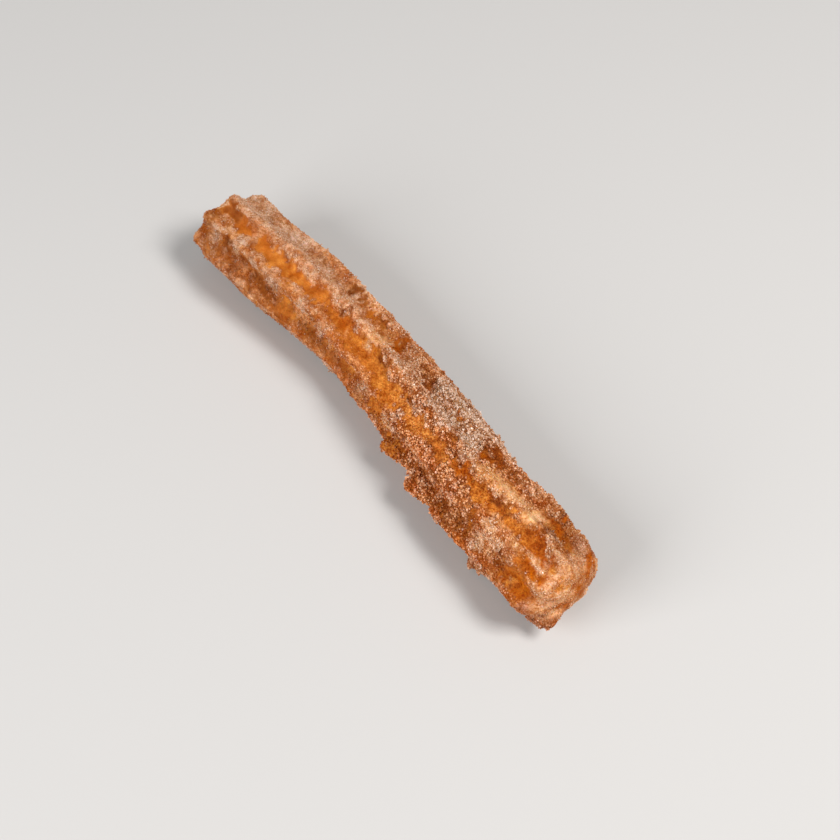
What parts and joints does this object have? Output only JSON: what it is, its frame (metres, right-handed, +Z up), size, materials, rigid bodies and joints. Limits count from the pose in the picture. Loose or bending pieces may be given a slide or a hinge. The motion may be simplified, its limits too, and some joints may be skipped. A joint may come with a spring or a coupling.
{
  "type": "churro",
  "caption": "Churro: a straight stick of star-piped fried dough with ridges and grooves, one square-cut end, one pinched end, coated in cinnamon sugar.",
  "frame": {"origin": "centre of the bounding box at the height of the flat underside", "axes": "+X along the stick, from the square-cut end to the pinched end; +Z up from the flat underside; +Y to the side that the stick bows towards"},
  "size_m": [0.1896, 0.0378, 0.0316],
  "materials": {
    "fried_dough": "fried golden-orange dough, browned on the ridges, slightly oily in the grooves",
    "sugar_crystals": "coarse white sugar crystals with small glints",
    "cinnamon_sugar": "sugar grains stained with cinnamon",
    "sugar_dust": "fine sugar dust",
    "cinnamon_specks": "ground cinnamon and browned crumbs"
  },
  "bodies": {
    "root": {"churro": "fried_dough"}
  },
  "joints": []
}
